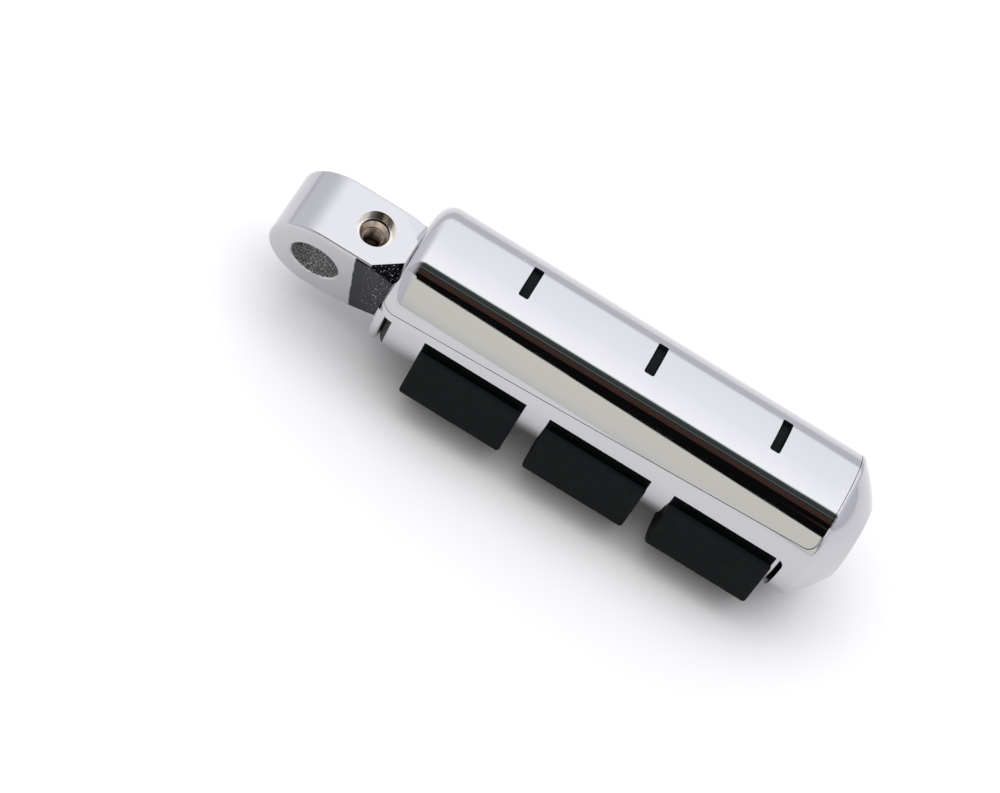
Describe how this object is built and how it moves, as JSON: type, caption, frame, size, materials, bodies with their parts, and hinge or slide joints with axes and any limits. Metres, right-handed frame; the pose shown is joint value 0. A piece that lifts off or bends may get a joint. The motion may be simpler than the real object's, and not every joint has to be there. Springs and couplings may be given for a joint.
{
  "type": "motorcycle foot peg",
  "caption": "Folding motorcycle foot peg: a drilled mounting lug, a round chrome shell with narrow slots and a domed end, and rubber tread pads held on a core by one recessed bolt.",
  "frame": {"origin": "on the axis of the pivot bore in the mounting lug, where the peg's long axis crosses it", "axes": "+X runs out along the peg to its domed end, +Z is the side of the slotted cover, and the rubber treads face -Z; the lug's bore is turned 16 degrees about X from Y"},
  "size_m": [0.1221, 0.0334, 0.0343],
  "materials": {
    "chrome": "bright mirror chrome plate on castings and a rolled cover",
    "rubber": "matte black moulded rubber",
    "bolt_steel": "satin stainless steel"
  },
  "bodies": {
    "mount": {"mount_lug": "chrome"},
    "tread": {"slotted_cover": "chrome", "peg_body": "chrome", "core": "chrome", "rubber_pad_inner": "rubber", "rubber_pad_middle": "rubber", "rubber_pad_outer": "rubber"},
    "washer": {"lock_washer": "bolt_steel"},
    "bolt": {"end_bolt": "bolt_steel"}
  },
  "joints": [
    {"name": "tread_turn", "type": "hinge", "parent": "mount", "child": "tread", "pos_m": [0.03, 0, 0], "axis": [1, 0, 0], "continuous": true},
    {"name": "bolt_travel", "type": "slide", "parent": "mount", "child": "washer", "axis": [1, 0, 0], "range_m": [0, 0.01]},
    {"name": "bolt_turn", "type": "hinge", "parent": "washer", "child": "bolt", "pos_m": [0.1, 0, 0], "axis": [1, 0, 0], "range_deg": [0, 2900]}
  ],
  "couplings": [
    {"joint": "bolt_turn", "follows": "bolt_travel", "rad_per_m": 5026.5}
  ]
}
